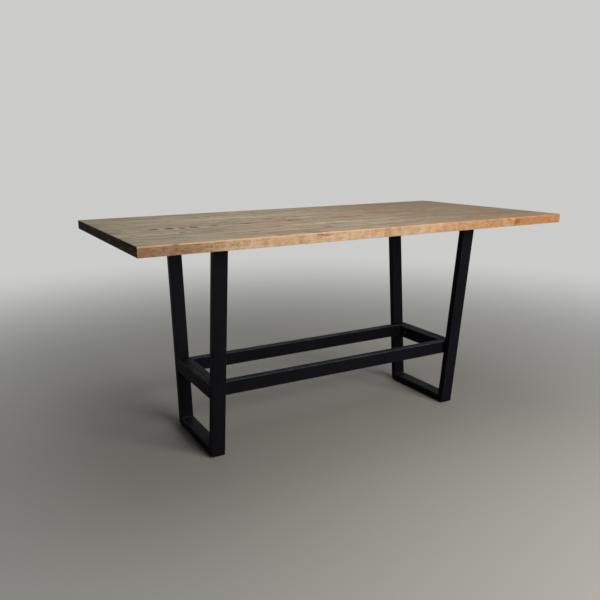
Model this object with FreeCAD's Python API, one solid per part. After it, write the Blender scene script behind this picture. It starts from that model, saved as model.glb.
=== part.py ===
import FreeCAD, Part
import math
import os

# Bar table: a thick oak top of edge-glued boards on two trapezoid legs of rectangular steel tube, tied together by
# a bolted-in foot rest of the same tube and standing on four levelling feet.
# Millimetres. X runs along the table, Y from the front to the rear, Z up. The origin is on the floor, under the
# middle of the top.

V = FreeCAD.Vector
ALONG_X = V(1, 0, 0)
ALONG_Y = V(0, 1, 0)
UP = V(0, 0, 1)
DOWN = V(0, 0, -1)

# Top
TABLE_HEIGHT = 1100.0
TOP_LENGTH = 2300.0
TOP_WIDTH = 1080.0
TOP_THICKNESS = 44.0
BOARD_COUNT = 8
ARRIS_RADIUS = 2.0

# Leg frames
FRAMES_OVERALL = 1510.0     # over the outer faces of the two leg frames
LEGS_APART_TOP = 660.0      # over the outer faces of a frame's legs, at its top plate
LEGS_APART_FLOOR = 464.0    # the same at the underside of the floor bar
TUBE_WIDE = 70.0
TUBE_DEEP = 40.0
CROSS_DEEP = 30.0           # the frame's own cross rail is a shallower tube
TUBE_WALL = 3.0
BEND_RADIUS = 2.0           # inside radius of a tube's long corners
PLATE_THICKNESS = 6.0

# Foot rest
REST_UNDERSIDE = 306.0
REST_SIDE_GAP = 0.7         # to each leg, where the legs come closest to it
REST_BOLT_PITCH = 240.0

# Fixings of the top
SCREW_COUNT = 4             # in each plate, one in each of the middle boards
SCREW_RADIUS = 4.0
SCREW_LENGTH = 24.0
HEX_ACROSS_FLATS = 13.0
HEX_HEIGHT = 5.3
WASHER_RADIUS = 10.0
WASHER_THICKNESS = 1.6
SLOT_LENGTH = 24.0
HOLE_CLEARANCE = 0.4        # round a screw in a plain hole, on the radius
SLEEVE_WALL = 3.0
TOP_SLEEVE_LENGTH = 22.0
THREAD_CLEARANCE = 0.05     # between a thread and its sleeve, and round a sleeve, on the radius
BLIND_HOLE_SPARE = 2.0

# Fixings of the foot rest
BUTTON_RADIUS = 7.0
BUTTON_HEIGHT = 4.4
KEY_ACROSS_FLATS = 5.0
KEY_DEPTH = 2.6
REST_SLEEVE_LENGTH = 12.0
REST_SLEEVE_WALL = 1.6

# Levelling feet
FLOOR_GAP = 8.0             # under the floor bars, with the feet screwed right in
FOOT_INSET = 32.0           # from a leg's outer face at the floor to the foot's axis
FOOT_RADIUS = 20.0
FOOT_BASE_HEIGHT = 5.4
FOOT_BASE_EDGE = 1.8
FOOT_SEAT_DEPTH = 3.0
STEM_RADIUS = 4.0
STEM_DISC_RADIUS = 8.6
STEM_HEX_FLATS = 13.0
SWIVEL_CLEARANCE = 0.08     # round the stem's disc in the base
FOOT_CLEARANCE = 0.3        # between faces of the foot that move apart
FOOT_TRAVEL = 12.0
BUSH_WALL = 4.0
BUSH_LENGTH = 18.0

# Heights, half sizes and angles that follow from them
TOP_UNDERSIDE = TABLE_HEIGHT - TOP_THICKNESS
PLATE_UNDERSIDE = TOP_UNDERSIDE - PLATE_THICKNESS
FLOOR_BAR_TOP = FLOOR_GAP + TUBE_DEEP
HALF_TOP = LEGS_APART_TOP / 2
HALF_FLOOR = LEGS_APART_FLOOR / 2
LEAN = math.atan2(HALF_TOP - HALF_FLOOR, PLATE_UNDERSIDE - FLOOR_GAP)
LEG_ACROSS = TUBE_DEEP / math.cos(LEAN)
FRAME_X = (FRAMES_OVERALL - TUBE_WIDE) / 2
CROSS_INNER_X = FRAMES_OVERALL / 2 - CROSS_DEEP
REST_INNER_X = CROSS_INNER_X - TUBE_DEEP
REST_MIDDLE_Z = REST_UNDERSIDE + TUBE_WIDE / 2
BOARD_WIDTH = TOP_WIDTH / BOARD_COUNT
FAR = 2 * (TOP_LENGTH + TABLE_HEIGHT)


def leg_outer(height):
    """Distance from the middle of a frame to a leg's outer face."""
    return HALF_FLOOR + (height - FLOOR_GAP) * math.tan(LEAN)


def leg_inner(height):
    """Distance from the middle of a frame to a leg's inner face."""
    return leg_outer(height) - LEG_ACROSS


REST_HALF = leg_inner(REST_UNDERSIDE) - REST_SIDE_GAP


def rounded_rectangle(wide, deep, radius):
    """A face in the XY plane, centred on the origin."""
    x = wide / 2 - radius
    y = deep / 2 - radius
    arcs = []
    for quarter, (cx, cy) in enumerate(((x, y), (-x, y), (-x, -y), (x, -y))):
        circle = Part.Circle(V(cx, cy, 0), UP, radius)
        start = quarter * math.pi / 2
        arcs.append(Part.ArcOfCircle(circle, start, start + math.pi / 2).toShape())
    edges = []
    for arc, following in zip(arcs, arcs[1:] + arcs[:1]):
        edges.append(arc)
        edges.append(Part.LineSegment(arc.lastVertex().Point, following.firstVertex().Point).toShape())
    return Part.Face(Part.Wire(edges))


def tube(start, end, across, wide, deep):
    """A rectangular tube from start to end, whose wide side lies along the direction across."""
    outer = rounded_rectangle(wide, deep, BEND_RADIUS + TUBE_WALL)
    inner = rounded_rectangle(wide - 2 * TUBE_WALL, deep - 2 * TUBE_WALL, BEND_RADIUS)
    run = end.sub(start)
    solid = outer.cut(inner).extrude(V(0, 0, run.Length))
    solid.Placement = FreeCAD.Placement(start, FreeCAD.Rotation(across, V(), run, "ZXY"))
    return solid


def half_space(point, normal):
    """A block that fills all the room on the normal's side of the plane through the point."""
    block = Part.makeBox(2 * FAR, 2 * FAR, FAR, V(-FAR, -FAR, 0))
    block.Placement = FreeCAD.Placement(point, FreeCAD.Rotation(UP, normal))
    return block


def mirrored_in_y(shape):
    return shape.mirror(V(0, 0, 0), ALONG_Y)


def rod(radius, start, direction, length):
    return Part.makeCylinder(radius, length, start, direction)


def ring(outer_radius, bore_radius, start, direction, length):
    return rod(outer_radius, start, direction, length).cut(rod(bore_radius, start, direction, length))


def hexagon(across_flats, start, direction, height):
    """A hexagonal prism on the plane through start."""
    corner = across_flats / math.sqrt(3)
    points = [V(corner * math.cos(i * math.pi / 3), corner * math.sin(i * math.pi / 3), 0) for i in range(7)]
    prism = Part.Face(Part.makePolygon(points)).extrude(V(0, 0, height))
    prism.Placement = FreeCAD.Placement(start, FreeCAD.Rotation(UP, direction))
    return prism


def cut_all(shape, cutters):
    for cutter in cutters:
        shape = shape.cut(cutter)
    return shape


# Where things are fixed

def screw_points():
    """Plan positions of the screws that hold the top, as (x, y)."""
    middle = (SCREW_COUNT - 1) / 2
    return [(side * FRAME_X, (i - middle) * BOARD_WIDTH) for side in (-1, 1) for i in range(SCREW_COUNT)]


def rest_bolt_points():
    """Where each foot-rest bolt leaves its end member towards the cross rail, with the side it points to."""
    points = []
    for side in (-1, 1):
        for end in (-1, 1):
            points.append((side, V(side * CROSS_INNER_X, end * REST_BOLT_PITCH / 2, REST_MIDDLE_Z)))
    return points


def foot_points():
    """Plan positions of the levelling feet, by name."""
    y = HALF_FLOOR - FOOT_INSET
    return {
        "left_front": (-FRAME_X, -y),
        "left_rear": (-FRAME_X, y),
        "right_front": (FRAME_X, -y),
        "right_rear": (FRAME_X, y),
    }


# Top

def top_boards():
    """Boards from front to rear: one slab with its long and end corners eased, sawn along the glue lines."""
    slab = Part.makeBox(TOP_LENGTH, TOP_WIDTH, TOP_THICKNESS, V(-TOP_LENGTH / 2, -TOP_WIDTH / 2, TOP_UNDERSIDE))
    slab = slab.makeFillet(ARRIS_RADIUS, slab.Edges)
    hole_radius = SCREW_RADIUS + SLEEVE_WALL + 2 * THREAD_CLEARANCE
    depth = TOP_SLEEVE_LENGTH + BLIND_HOLE_SPARE
    slab = cut_all(slab, [rod(hole_radius, V(x, y, TOP_UNDERSIDE), UP, depth) for x, y in screw_points()])
    boards = {}
    for i in range(BOARD_COUNT):
        corner = V(-TOP_LENGTH / 2, -TOP_WIDTH / 2 + i * BOARD_WIDTH, TOP_UNDERSIDE)
        strip = Part.makeBox(TOP_LENGTH, BOARD_WIDTH, TOP_THICKNESS, corner)
        boards["top_board_%d" % (i + 1)] = slab.common(strip)
    return boards


# Leg frames

def mitre_plane():
    """Point and normal of the plane between the rear leg and the floor bar; the normal points to the bar."""
    outer = V(0, leg_outer(FLOOR_GAP), FLOOR_GAP)
    inner = V(0, leg_inner(FLOOR_BAR_TOP), FLOOR_BAR_TOP)
    along = inner.sub(outer)
    return outer, V(0, -along.z, along.y)


def rear_leg(x):
    """A leaning tube, mitred at the floor and level under the top plate."""
    direction = V(0, math.sin(LEAN), math.cos(LEAN))
    outward = V(0, math.cos(LEAN), -math.sin(LEAN))
    foot = V(x, leg_outer(FLOOR_GAP), FLOOR_GAP).sub(outward * (TUBE_DEEP / 2))
    run = (PLATE_UNDERSIDE - FLOOR_GAP) / math.cos(LEAN)
    leg = tube(foot.sub(direction * TUBE_WIDE), foot.add(direction * (run + TUBE_WIDE)), ALONG_X, TUBE_WIDE, TUBE_DEEP)
    point, normal = mitre_plane()
    return leg.cut(half_space(point, normal)).cut(half_space(V(0, 0, PLATE_UNDERSIDE), UP))


def floor_bar(x):
    """A flat-lying tube, mitred to both legs, with a hole for each foot's bush."""
    half = leg_outer(FLOOR_GAP) + TUBE_DEEP
    middle = FLOOR_GAP + TUBE_DEEP / 2
    bar = tube(V(x, -half, middle), V(x, half, middle), ALONG_X, TUBE_WIDE, TUBE_DEEP)
    point, normal = mitre_plane()
    bar = bar.cut(half_space(point, normal * -1))
    bar = bar.cut(half_space(V(0, -point.y, point.z), V(0, normal.y, -normal.z)))
    hole_radius = STEM_RADIUS + BUSH_WALL + 2 * THREAD_CLEARANCE
    return cut_all(bar, [rod(hole_radius, V(*xy, FLOOR_GAP), UP, TUBE_WALL) for xy in foot_points().values()])


def cross_rail(side):
    """The frame's own rail between its legs, flush with their outer side, with holes for the rest's sleeves."""
    x = side * (FRAMES_OVERALL - CROSS_DEEP) / 2
    half = leg_outer(REST_UNDERSIDE + TUBE_WIDE)
    rail = tube(V(x, -half, REST_MIDDLE_Z), V(x, half, REST_MIDDLE_Z), UP, TUBE_WIDE, CROSS_DEEP)
    face = V(0, leg_inner(REST_MIDDLE_Z), REST_MIDDLE_Z)
    rail = rail.cut(half_space(face, V(0, math.cos(LEAN), -math.sin(LEAN))))
    rail = rail.cut(half_space(V(0, -face.y, face.z), V(0, -math.cos(LEAN), -math.sin(LEAN))))
    hole_radius = SCREW_RADIUS + REST_SLEEVE_WALL + 2 * THREAD_CLEARANCE
    holes = [rod(hole_radius, point, V(end, 0, 0), TUBE_WALL) for end, point in rest_bolt_points()]
    return cut_all(rail, holes)


def slot(x, y):
    """A vertical slot through the top plate, long across the grain of the top."""
    radius = SCREW_RADIUS + HOLE_CLEARANCE
    straight = max(SLOT_LENGTH - 2 * radius, 0.0)
    ends = [rod(radius, V(x, y + end * straight / 2, PLATE_UNDERSIDE), UP, PLATE_THICKNESS) for end in (-1, 1)]
    corner = V(x - radius, y - straight / 2, PLATE_UNDERSIDE)
    return ends[0].fuse(ends[1]).fuse(Part.makeBox(2 * radius, straight, PLATE_THICKNESS, corner))


def top_plate(x):
    """The plate welded across the leg tops. Its middle holes are round, and the others let the top move."""
    corner = V(x - TUBE_WIDE / 2, -HALF_TOP, PLATE_UNDERSIDE)
    plate = Part.makeBox(TUBE_WIDE, LEGS_APART_TOP, PLATE_THICKNESS, corner)
    for screw_x, y in screw_points():
        if abs(y) < BOARD_WIDTH:
            cutter = rod(SCREW_RADIUS + HOLE_CLEARANCE, V(screw_x, y, PLATE_UNDERSIDE), UP, PLATE_THICKNESS)
        else:
            cutter = slot(screw_x, y)
        plate = plate.cut(cutter)
    return plate


def leg_frame(name, side):
    x = side * FRAME_X
    rear = rear_leg(x)
    return {
        name + "_front_leg": mirrored_in_y(rear),
        name + "_rear_leg": rear,
        name + "_floor_bar": floor_bar(x),
        name + "_cross_rail": cross_rail(side),
        name + "_top_plate": top_plate(x),
    }


# Foot rest

def foot_rest():
    """Two long rails with an end member between them at each end; the rails' open ends meet the cross rails."""
    y = REST_HALF - TUBE_DEEP / 2
    rear = tube(V(-CROSS_INNER_X, y, REST_MIDDLE_Z), V(CROSS_INNER_X, y, REST_MIDDLE_Z), UP, TUBE_WIDE, TUBE_DEEP)
    half = REST_HALF - TUBE_DEEP
    members = {"foot_rest_front_rail": mirrored_in_y(rear), "foot_rest_rear_rail": rear}
    for name, side in (("left", -1), ("right", 1)):
        x = side * (CROSS_INNER_X - TUBE_DEEP / 2)
        member = tube(V(x, -half, REST_MIDDLE_Z), V(x, half, REST_MIDDLE_Z), UP, TUBE_WIDE, TUBE_DEEP)
        holes = [rod(SCREW_RADIUS + HOLE_CLEARANCE, point, V(-end, 0, 0), TUBE_DEEP)
                 for end, point in rest_bolt_points()]
        members["foot_rest_%s_end" % name] = cut_all(member, holes)
    return members


# Fasteners, each kind a group of separate solids

def top_screw(x, y):
    seat = PLATE_UNDERSIDE - WASHER_THICKNESS
    head = hexagon(HEX_ACROSS_FLATS, V(x, y, seat), DOWN, HEX_HEIGHT)
    return head.fuse(rod(SCREW_RADIUS, V(x, y, seat), UP, SCREW_LENGTH))


def rest_bolt(side, point):
    """A button-head bolt from the end member's inner face into the sleeve in the cross rail."""
    outward = V(side, 0, 0)
    seat = V(side * REST_INNER_X, point.y, point.z)
    shank = rod(SCREW_RADIUS, seat, outward, TUBE_DEEP + REST_SLEEVE_LENGTH)
    profile_radius = (BUTTON_RADIUS ** 2 + BUTTON_HEIGHT ** 2) / (2 * BUTTON_HEIGHT)
    dome = Part.makeSphere(profile_radius, seat.add(outward * (profile_radius - BUTTON_HEIGHT)))
    head = dome.common(rod(BUTTON_RADIUS, seat, outward * -1, BUTTON_HEIGHT))
    key = hexagon(KEY_ACROSS_FLATS, seat.sub(outward * BUTTON_HEIGHT), outward, KEY_DEPTH)
    return head.cut(key).fuse(shank)


def fasteners():
    screws = screw_points()
    rest = rest_bolt_points()
    washer_bore = SCREW_RADIUS + HOLE_CLEARANCE
    sleeve_bore = SCREW_RADIUS + THREAD_CLEARANCE
    seat = PLATE_UNDERSIDE - WASHER_THICKNESS
    bush_bore = STEM_RADIUS + THREAD_CLEARANCE
    return {
        "top_screws": [top_screw(x, y) for x, y in screws],
        "top_washers": [ring(WASHER_RADIUS, washer_bore, V(x, y, seat), UP, WASHER_THICKNESS) for x, y in screws],
        "top_sleeves": [ring(sleeve_bore + SLEEVE_WALL, sleeve_bore, V(x, y, TOP_UNDERSIDE), UP, TOP_SLEEVE_LENGTH)
                        for x, y in screws],
        "rest_bolts": [rest_bolt(side, point) for side, point in rest],
        "rest_sleeves": [ring(sleeve_bore + REST_SLEEVE_WALL, sleeve_bore, point, V(side, 0, 0), REST_SLEEVE_LENGTH)
                         for side, point in rest],
        "foot_bushes": [ring(bush_bore + BUSH_WALL, bush_bore, V(*xy, FLOOR_GAP), UP, BUSH_LENGTH)
                        for xy in foot_points().values()],
    }


# Levelling feet

def foot_base(x, y):
    """A round base with a bevelled upper corner and a seat for the stem's disc."""
    base = rod(FOOT_RADIUS, V(x, y, 0), UP, FOOT_BASE_HEIGHT)
    upper = [edge for edge in base.Edges if edge.BoundBox.ZMin > FOOT_BASE_HEIGHT / 2]
    base = base.makeChamfer(FOOT_BASE_EDGE, upper)
    seat = rod(STEM_DISC_RADIUS + SWIVEL_CLEARANCE, V(x, y, FOOT_BASE_HEIGHT - FOOT_SEAT_DEPTH), UP, FOOT_SEAT_DEPTH)
    return base.cut(seat)


def foot_stem(x, y):
    """The disc that turns in the base, the hexagon for a spanner and the threaded rod."""
    disc_bottom = FOOT_BASE_HEIGHT - FOOT_SEAT_DEPTH + FOOT_CLEARANCE
    disc_top = FOOT_BASE_HEIGHT - FOOT_CLEARANCE
    hex_top = FLOOR_GAP - FOOT_CLEARANCE
    rod_top = FLOOR_GAP + BUSH_LENGTH + FOOT_TRAVEL
    disc = rod(STEM_DISC_RADIUS, V(x, y, disc_bottom), UP, disc_top - disc_bottom)
    flats = hexagon(STEM_HEX_FLATS, V(x, y, disc_top), UP, hex_top - disc_top)
    return disc.fuse(flats).fuse(rod(STEM_RADIUS, V(x, y, hex_top), UP, rod_top - hex_top))


def levelling_feet():
    feet = {}
    for name, (x, y) in foot_points().items():
        feet[name + "_foot_base"] = foot_base(x, y)
        feet[name + "_foot_stem"] = foot_stem(x, y)
    return feet


def main():
    nodes = {}
    nodes.update(top_boards())
    nodes.update(leg_frame("left", -1))
    nodes.update(leg_frame("right", 1))
    nodes.update(foot_rest())
    nodes.update(levelling_feet())
    for name, solids in fasteners().items():
        nodes[name] = Part.makeCompound(solids)
    os.makedirs("parts", exist_ok=True)
    for name, shape in nodes.items():
        shape.exportStep("parts/%s.step" % name)
        print("%-24s %3d solids %10.1f cm3 valid %s" % (name, len(shape.Solids), shape.Volume / 1000, shape.isValid()))


main()
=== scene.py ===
"""Looks for a bar-height table: an oiled oak top of glued boards on black trapezoid legs of steel tube.

The script is laid out as an add-on and runs as a script. Metres; X along the table, Y from the front to the
rear, Z up, with the origin on the floor under the middle of the top.
"""

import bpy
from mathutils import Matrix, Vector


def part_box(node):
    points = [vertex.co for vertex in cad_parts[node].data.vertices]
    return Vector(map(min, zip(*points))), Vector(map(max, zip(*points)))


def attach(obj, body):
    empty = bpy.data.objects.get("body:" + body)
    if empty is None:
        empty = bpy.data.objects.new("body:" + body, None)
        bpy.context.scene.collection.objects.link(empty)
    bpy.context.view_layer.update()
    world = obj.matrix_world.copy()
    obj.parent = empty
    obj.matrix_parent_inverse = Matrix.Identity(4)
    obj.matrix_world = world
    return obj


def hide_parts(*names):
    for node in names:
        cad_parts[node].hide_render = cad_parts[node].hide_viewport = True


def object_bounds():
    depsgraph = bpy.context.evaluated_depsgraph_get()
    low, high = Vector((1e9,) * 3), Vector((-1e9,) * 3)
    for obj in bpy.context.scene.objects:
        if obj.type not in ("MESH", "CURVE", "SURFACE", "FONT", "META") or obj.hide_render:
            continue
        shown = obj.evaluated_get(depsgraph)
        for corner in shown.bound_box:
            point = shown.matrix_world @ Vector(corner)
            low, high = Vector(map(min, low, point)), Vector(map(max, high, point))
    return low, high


bl_info = {
    "name": "Bar table looks",
    "version": (1, 0, 0),
    "blender": (4, 5, 0),
    "location": "View3D > Sidebar > Bar table",
    "description": "Boards, welds, fixings, feet and studio for a bar-height oak table",
    "category": "Object",
}

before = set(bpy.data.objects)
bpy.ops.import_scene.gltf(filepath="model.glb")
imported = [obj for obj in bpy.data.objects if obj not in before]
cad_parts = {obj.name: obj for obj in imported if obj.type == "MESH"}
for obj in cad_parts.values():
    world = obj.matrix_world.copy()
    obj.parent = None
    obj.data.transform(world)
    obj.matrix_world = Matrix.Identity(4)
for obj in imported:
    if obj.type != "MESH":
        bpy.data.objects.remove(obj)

import math
from collections import namedtuple

import bpy
import numpy as np
from mathutils import Matrix, Vector

CAD_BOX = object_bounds()
BODY = "table"

# The top

BOARD_COUNT = len([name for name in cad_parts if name.startswith("top_board_")])
TOP_LOW, TOP_HIGH = CAD_BOX
TOP_LENGTH = TOP_HIGH[0] - TOP_LOW[0]
TOP_WIDTH = TOP_HIGH[1] - TOP_LOW[1]
TABLE_HEIGHT = TOP_HIGH[2]
TOP_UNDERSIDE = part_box("top_board_1")[0].z
BOARD_WIDTH = TOP_WIDTH / BOARD_COUNT
CORNER_POINTS = 7                       # points round a board's long corner
FACE_POINTS = (44, 5, 12, 5)            # points across its top, rear, underside and front
FLAT_END = 0.010                        # the hollows fade out over this length at each end of a board

# The steel

TUBE_CORNER = 0.005                     # outside radius of a tube's long corners
TUBE_DEPTH = 0.040                      # smaller side of the legs' tube
LEG_LOW, LEG_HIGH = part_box("right_rear_leg")
BAR_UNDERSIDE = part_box("right_floor_bar")[0].z
BAR_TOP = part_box("right_floor_bar")[1].z
PLATE_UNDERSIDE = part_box("right_top_plate")[0].z
CROSS_LOW, CROSS_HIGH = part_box("right_cross_rail")
REST_LOW, REST_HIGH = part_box("foot_rest_rear_rail")
FRAME_X = (LEG_LOW.x + LEG_HIGH.x) / 2
LEG_HALF_X = (LEG_HIGH.x - LEG_LOW.x) / 2
HALF_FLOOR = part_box("right_floor_bar")[1].y
LEAN = math.atan2(LEG_HIGH.y - HALF_FLOOR, LEG_HIGH.z - LEG_LOW.z)
LEG_ACROSS = TUBE_DEPTH / math.cos(LEAN)
RIPPLE_PITCH = 0.0026                   # from one ripple of a weld to the next
WELD_STEP = 0.0006

# The fixings

THREAD_PITCH = 0.00125
THREAD_DEPTH = 0.00068
THREAD_TIP = 0.0009                     # length of the bevel at a rod's tip
SCREW_RADIUS = 0.004
SCREW_POINTS = [(side * FRAME_X, row * BOARD_WIDTH) for side in (-1, 1) for row in (-1.5, -0.5, 0.5, 1.5)]
SCREW_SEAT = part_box("top_washers")[0].z
SCREW_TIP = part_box("top_screws")[1].z
HEX_FLATS = 0.013
HEX_HEIGHT = 0.0053
HEX_FACE = 0.475 * HEX_FLATS            # radius of the round face at each end of a hexagon head
HEX_FACE_HEIGHT = 0.0004
HEX_BEVEL = 0.0014                      # how far down the bevel cuts the hexagon's corners
WASHER_RADIUS = 0.010
WASHER_BORE = 0.0044
WASHER_CORNER = 0.0003
BOLT_HALF_PITCH = 0.120
BOLT_SEAT_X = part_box("foot_rest_right_end")[0].x
BOLT_TIP_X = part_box("rest_bolts")[1].x
BOLT_HEAD_RADIUS = 0.007
BOLT_HEAD_HEIGHT = 0.0044
BOLT_EDGE_HEIGHT = 0.0006               # the low wall under the dome
BOLT_KEY_FLATS = 0.005
BOLT_KEY_DEPTH = 0.0026
BOLT_KEY_CONE = 0.0007                  # depth of the drill's cone under the socket
BOLT_KEY_BEVEL = 0.0003
BOLT_KEY_LAND = 0.0012                  # the flat ring round the socket

# The feet

FEET = ("left_front", "left_rear", "right_front", "right_rear")
BASE_LOW, BASE_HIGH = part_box("right_front_foot_base")
BASE_RADIUS = (BASE_HIGH.x - BASE_LOW.x) / 2
BASE_SHOULDER = 0.0018                  # radius of the shoulder
BASE_RIBS = 40
BASE_RIB_DEPTH = 0.00045
BASE_SEAT_RADIUS = 0.00868
BASE_SEAT_DEPTH = 0.003
STEM_DISC_RADIUS = 0.0086
STEM_PLAY = 0.0003                      # between the stem and what stands over it

# Marks in the wood by board. A branch that comes up through a board is as wide all the way down, and one that
# comes out of the front edge runs a few centimetres in.

THROUGH = 0.5                           # half height of a mark that goes right through
Mark = namedtuple("Mark", "kind centre half_sizes strength depth")


def through(kind, x, y, half_sizes, strength, depth=0.0):
    """A mark that comes up through a board, and for a knot how deep it is sunk."""
    return Mark(kind, (x, y, TABLE_HEIGHT), (*half_sizes, THROUGH), strength, depth)


def in_front(kind, x, z, half_sizes, strength):
    """A mark in the front edge."""
    return Mark(kind, (x, TOP_LOW[1], z), half_sizes, strength, 0.0)


MARKS = {
    1: [
        Mark("smudge", (-0.375, -0.491, TABLE_HEIGHT), (0.034, 0.014, 0.0100), 0.60, 0.0),
        in_front("red", -1.047, 1.0790, (0.007, 0.030, 0.0060), 0.60),
        in_front("red", -1.115, 1.0700, (0.020, 0.030, 0.0180), 0.45),
        in_front("red", -0.998, 1.0960, (0.014, 0.020, 0.0040), 0.80),
        in_front("red", -0.953, 1.0640, (0.024, 0.030, 0.0036), 0.70),
        in_front("red", -0.317, 1.0870, (0.026, 0.030, 0.0036), 0.80),
        in_front("red", -0.352, 1.0930, (0.016, 0.030, 0.0024), 0.60),
        in_front("red", 0.832, 1.0790, (0.025, 0.040, 0.0140), 1.00),
        in_front("amber", 0.806, 1.0900, (0.011, 0.030, 0.0060), 0.95),
        in_front("amber", 0.665, 1.0630, (0.014, 0.030, 0.0035), 0.60),
        in_front("amber", 0.762, 1.0620, (0.016, 0.030, 0.0030), 0.60),
    ],
    2: [
        through("smudge", -0.212, -0.378, (0.042, 0.016), 0.90),
        through("smudge", -0.990, -0.365, (0.090, 0.018), 0.60),
        through("knot", 0.620, -0.330, (0.012, 0.009), 0.30, 0.0001),
    ],
    3: [
        through("knot", -0.858, -0.230, (0.014, 0.010), 0.65, 0.0002),
        through("knot", -0.087, -0.248, (0.011, 0.009), 0.50, 0.0002),
        through("smudge", -1.090, -0.215, (0.030, 0.014), 0.60),
    ],
    4: [
        through("smudge", -1.120, -0.100, (0.044, 0.011), 0.90),
        through("knot", -1.124, -0.099, (0.022, 0.012), 0.90, 0.0002),
        through("smudge", -0.968, -0.078, (0.030, 0.011), 0.95),
        through("pale", -0.831, -0.068, (0.016, 0.018), 0.95),
        through("knot", -0.930, -0.060, (0.015, 0.022), 0.95, 0.0003),
        through("knot", -0.860, -0.066, (0.020, 0.026), 1.00, 0.0005),
        through("knot", -0.803, -0.074, (0.017, 0.018), 0.95, 0.0002),
        through("knot", -0.745, -0.070, (0.018, 0.022), 1.00, 0.0003),
        through("red", -0.640, -0.064, (0.028, 0.020), 0.90),
        through("knot", -0.641, -0.066, (0.010, 0.013), 0.80, 0.0003),
        through("red", -0.468, -0.062, (0.034, 0.020), 0.90),
        through("knot", -0.469, -0.064, (0.011, 0.011), 0.75, 0.0003),
        through("red", -0.213, -0.050, (0.048, 0.022), 0.90),
        through("knot", -0.222, -0.052, (0.013, 0.012), 0.75, 0.0004),
        through("knot", -0.083, -0.060, (0.012, 0.012), 0.70, 0.0003),
        through("red", 0.110, -0.044, (0.100, 0.020), 0.85),
        through("knot", 0.203, -0.042, (0.018, 0.013), 0.60, 0.0004),
    ],
    5: [
        through("red", -0.275, 0.082, (0.040, 0.016), 0.45),
        through("knot", 0.480, 0.090, (0.012, 0.009), 0.40, 0.0002),
    ],
    7: [
        through("knot", -0.520, 0.330, (0.014, 0.012), 0.35, 0.0003),
        through("knot", 0.930, 0.300, (0.012, 0.009), 0.40, 0.0002),
    ],
    8: [
        through("smudge", -0.950, 0.480, (0.130, 0.040), 0.55),
        through("knot", -0.180, 0.470, (0.012, 0.010), 0.40, 0.0002),
    ],
}

# How light each board is and how much warmer than the next, from the front

BOARD_TONES = [(1.02, 0.55), (1.05, 0.10), (1.12, 0.12), (1.00, 0.50), (1.00, 0.55), (1.03, 0.05),
               (0.98, 0.15), (0.93, 0.40)]

# Tints that the wood is multiplied by: in each ring, and towards the two ends of the table, where they are
# partly painted shade

EARLY_TINT = (0.76, 0.72, 0.67)
LATE_TINT = (1.09, 1.09, 1.09)
RIGHT_TINT_AND_SHADE = (0.80, 0.78, 0.76)
LEFT_TINT_AND_SHADE = (0.91, 0.95, 0.98)

# The camera, as fitted to the photograph's 600 by 600 pixels

IMAGE_SIZE = 600.0
CAMERA_PLACE = (-1.79384, -2.85367, 1.44938)
CAMERA_YAW = math.radians(27.25)        # from +Y towards +X
CAMERA_PITCH = math.radians(13.67)      # downwards
CAMERA_ROLL = math.radians(-0.53)
FOCAL_PIXELS = 637.43
OPTICAL_CENTRE = (268.195, 303.964)
SENSOR_WIDTH = 36.0

# The studio

FLOOR_RINGS = [0.0001, 3.0, 8.0, 20.0, 60.0]
FLOOR_STEPS = 72
FADE_START = 1.0                        # where the floor starts to turn into the backdrop
FADE_END = 5.5
SKY_TONE = (0.95, 0.975, 1.0)


# Meshes

def grid_faces(rows, columns):
    """Quads of a grid that closes on itself in its columns: cell (i, j) joins rows i and i + 1."""
    row, column = np.meshgrid(np.arange(rows - 1), np.arange(columns), indexing="ij")
    right = (column + 1) % columns
    here, above = row * columns, (row + 1) * columns
    return np.stack([here + column, here + right, above + right, above + column], axis=-1).reshape(-1, 4)


def outward(points, groups):
    """The points and the groups of faces of a closed shell. The faces are all turned over if the volume under
    them, the sum of one . (two x three) over their triangles, comes out negative."""
    volume = 0.0
    for faces in groups:
        for corner in range(1, faces.shape[1] - 1):
            one, two, three = (points[faces[:, index]] for index in (0, corner, corner + 1))
            volume += np.sum(one * np.cross(two, three))
    return points, [faces[:, ::-1] if volume < 0.0 else faces for faces in groups]


def closed_grid(points):
    """A shell from a tube of rows of points, shut at both ends by a fan round the mean of the last row."""
    rows, columns = points.shape[:2]
    poles = np.stack([points[0].mean(axis=0), points[-1].mean(axis=0)])
    around = np.arange(columns)
    after = (around + 1) % columns
    last = (rows - 1) * columns
    first_fan = np.stack([after, around, np.full(columns, rows * columns)], axis=-1)
    last_fan = np.stack([last + around, last + after, np.full(columns, rows * columns + 1)], axis=-1)
    vertices = np.vstack([points.reshape(-1, 3), poles])
    return outward(vertices, [grid_faces(rows, columns), first_fan, last_fan])


def looped_grid(points):
    """A shell from a ring of rows of points that closes on itself both ways."""
    rows, columns = points.shape[:2]
    return outward(points.reshape(-1, 3), [grid_faces(rows + 1, columns) % (rows * columns)])


def add_piece(name, shells, material, body=BODY, replaces=(), sharp=35.0):
    """One object from a list of shells, shaded smooth up to the sharp angle, in degrees."""
    vertices = []
    faces = []
    count = 0
    for points, groups in shells:
        vertices.append(points)
        for group in groups:
            faces.extend((group + count).tolist())
        count += len(points)
    mesh = bpy.data.meshes.new(name)
    mesh.from_pydata(np.vstack(vertices).tolist(), [], faces)
    mesh.shade_smooth()
    mesh.set_sharp_from_angle(angle=math.radians(sharp))
    mesh.materials.append(material)
    piece = bpy.data.objects.new(name, mesh)
    bpy.context.scene.collection.objects.link(piece)
    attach(piece, body)
    if replaces:
        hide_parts(*replaces)
    return piece


def dress(node, material):
    """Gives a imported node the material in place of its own."""
    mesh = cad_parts[node].data
    mesh.materials.clear()
    mesh.materials.append(material)


# Materials

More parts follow.
